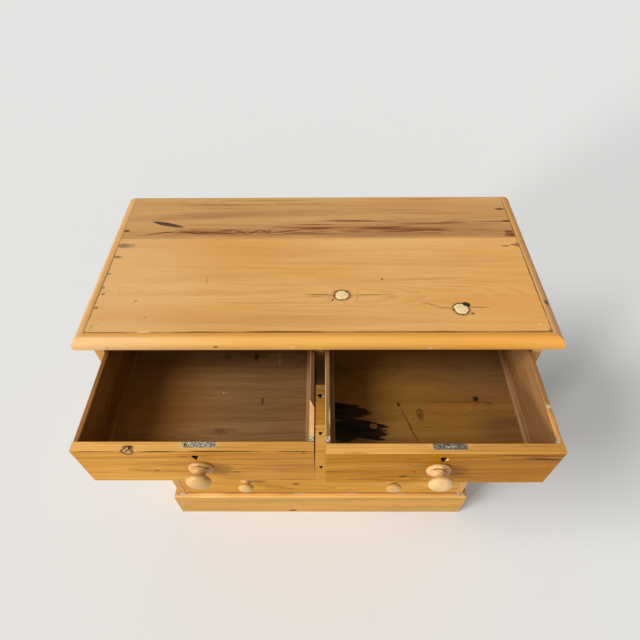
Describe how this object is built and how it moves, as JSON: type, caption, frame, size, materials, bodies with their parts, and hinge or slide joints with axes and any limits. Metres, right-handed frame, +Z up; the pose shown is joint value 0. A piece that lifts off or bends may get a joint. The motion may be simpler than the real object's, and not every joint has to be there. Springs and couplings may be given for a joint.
{
  "type": "chest of drawers",
  "caption": "Free-standing pine chest of short and long drawers with turned knobs, mortised drawer locks, a bullnose-edged top and a plain plinth; for storing clothes.",
  "frame": {"origin": "on the floor, under the middle of the plinth front, half-way through its thickness", "axes": "+X to the right of someone facing the drawers, +Y to the back, +Z up"},
  "size_m": [1.016, 0.7427, 1.02],
  "materials": {
    "waxed_pine": "old honey-coloured pine, waxed to a soft satin sheen, worn at the arrises",
    "raw_pine": "unpolished pine gone brown with age, dry and matt",
    "turned_pine": "lathe-turned pale pine, waxed",
    "lock_iron": "old wrought lock iron, dull grey with dark pitting",
    "bolt_steel": "bolt rubbed bright along its sliding faces"
  },
  "bodies": {
    "carcass": {"top_front_board": "waxed_pine", "top_back_board": "waxed_pine", "top_moulding_front": "waxed_pine", "top_moulding_left": "waxed_pine", "top_moulding_right": "waxed_pine", "left_side": "waxed_pine", "right_side": "waxed_pine", "back_boards": "raw_pine", "carcass_bottom": "raw_pine", "top_rail": "waxed_pine", "upper_rail": "waxed_pine", "middle_rail": "waxed_pine", "lower_rail": "waxed_pine", "centre_divider": "waxed_pine", "drawer_runners": "raw_pine", "drawer_guides": "raw_pine", "drawer_stops": "raw_pine", "plinth_front": "waxed_pine", "plinth_returns": "waxed_pine", "plinth_blocks": "raw_pine"},
    "left_drawer": {"left_drawer_front": "waxed_pine", "left_drawer_sides": "raw_pine", "left_drawer_back": "raw_pine", "left_drawer_bottom": "raw_pine", "left_drawer_slips": "raw_pine", "left_drawer_knob": "turned_pine", "left_drawer_lock_case": "lock_iron"},
    "left_bolt": {"left_drawer_lock_bolt": "bolt_steel"},
    "right_drawer": {"right_drawer_front": "waxed_pine", "right_drawer_sides": "raw_pine", "right_drawer_back": "raw_pine", "right_drawer_bottom": "raw_pine", "right_drawer_slips": "raw_pine", "right_drawer_knob": "turned_pine", "right_drawer_lock_case": "lock_iron"},
    "right_bolt": {"right_drawer_lock_bolt": "bolt_steel"},
    "upper_drawer": {"upper_drawer_front": "waxed_pine", "upper_drawer_sides": "raw_pine", "upper_drawer_back": "raw_pine", "upper_drawer_bottom": "raw_pine", "upper_drawer_slips": "raw_pine", "upper_drawer_knobs": "turned_pine", "upper_drawer_lock_case": "lock_iron"},
    "upper_bolt": {"upper_drawer_lock_bolt": "bolt_steel"},
    "middle_drawer": {"middle_drawer_front": "waxed_pine", "middle_drawer_sides": "raw_pine", "middle_drawer_back": "raw_pine", "middle_drawer_bottom": "raw_pine", "middle_drawer_slips": "raw_pine", "middle_drawer_knobs": "turned_pine", "middle_drawer_lock_case": "lock_iron"},
    "middle_bolt": {"middle_drawer_lock_bolt": "bolt_steel"},
    "lower_drawer": {"lower_drawer_front": "waxed_pine", "lower_drawer_sides": "raw_pine", "lower_drawer_back": "raw_pine", "lower_drawer_bottom": "raw_pine", "lower_drawer_slips": "raw_pine", "lower_drawer_knobs": "turned_pine", "lower_drawer_lock_case": "lock_iron"},
    "lower_bolt": {"lower_drawer_lock_bolt": "bolt_steel"}
  },
  "joints": [
    {"name": "left_drawer_slide", "type": "slide", "parent": "carcass", "child": "left_drawer", "axis": [0, -1, 0], "range_m": [-0.232, 0.098]},
    {"name": "left_bolt_throw", "type": "slide", "parent": "left_drawer", "child": "left_bolt", "axis": [0, 0, 1], "range_m": [0, 0.008]},
    {"name": "right_drawer_slide", "type": "slide", "parent": "carcass", "child": "right_drawer", "axis": [0, -1, 0], "range_m": [-0.236, 0.094]},
    {"name": "right_bolt_throw", "type": "slide", "parent": "right_drawer", "child": "right_bolt", "axis": [0, 0, 1], "range_m": [0, 0.008]},
    {"name": "upper_drawer_slide", "type": "slide", "parent": "carcass", "child": "upper_drawer", "axis": [0, -1, 0], "range_m": [0, 0.33]},
    {"name": "upper_bolt_throw", "type": "slide", "parent": "upper_drawer", "child": "upper_bolt", "axis": [0, 0, 1], "range_m": [0, 0.008]},
    {"name": "middle_drawer_slide", "type": "slide", "parent": "carcass", "child": "middle_drawer", "axis": [0, -1, 0], "range_m": [0, 0.33]},
    {"name": "middle_bolt_throw", "type": "slide", "parent": "middle_drawer", "child": "middle_bolt", "axis": [0, 0, 1], "range_m": [0, 0.008]},
    {"name": "lower_drawer_slide", "type": "slide", "parent": "carcass", "child": "lower_drawer", "axis": [0, -1, 0], "range_m": [0, 0.33]},
    {"name": "lower_bolt_throw", "type": "slide", "parent": "lower_drawer", "child": "lower_bolt", "axis": [0, 0, 1], "range_m": [0, 0.008]}
  ]
}
